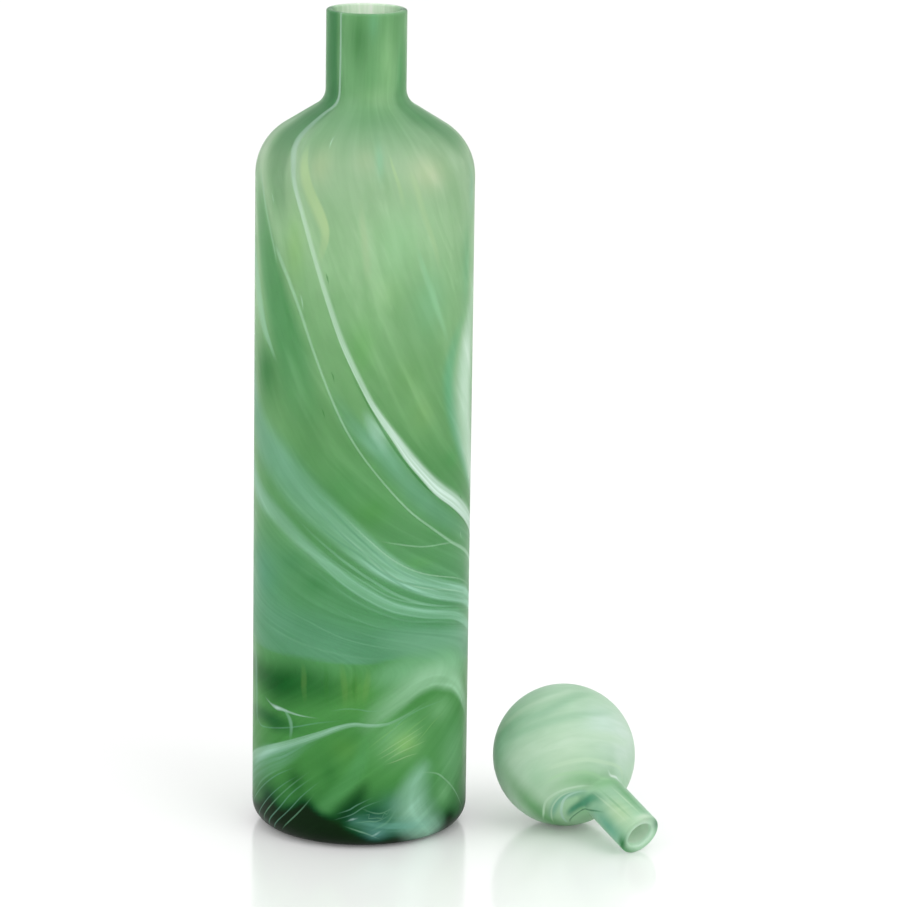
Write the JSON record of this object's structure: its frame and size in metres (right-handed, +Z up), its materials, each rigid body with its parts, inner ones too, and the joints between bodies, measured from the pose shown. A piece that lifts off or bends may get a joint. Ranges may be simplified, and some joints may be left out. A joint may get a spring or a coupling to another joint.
{
  "type": "decorative bottle with stopper",
  "caption": "Tall cylindrical blown-glass bottle with rounded shoulders, a straight neck and a thick base, and a hollow ball stopper with an open stem lying beside it.",
  "frame": {"origin": "centre of the bottle's flat base, on the bottle's axis", "axes": "+Z up along the bottle's axis towards the mouth, +X towards the side where the stopper lies, -Y towards the viewer"},
  "size_m": [0.2381, 0.1372, 0.4855],
  "materials": {
    "bottle_glass": "satin translucent green glass with drawn mint and white trails, deeper green towards the thick base",
    "stopper_glass": "satin milky mint glass with soft turning bands"
  },
  "bodies": {
    "bottle": {"bottle": "bottle_glass"},
    "stopper": {"stopper": "stopper_glass"}
  },
  "joints": [
    {"name": "stopper_lift", "type": "slide", "parent": "bottle", "child": "stopper", "axis": [0, 0, 1], "range_m": [0, 0.49]}
  ]
}
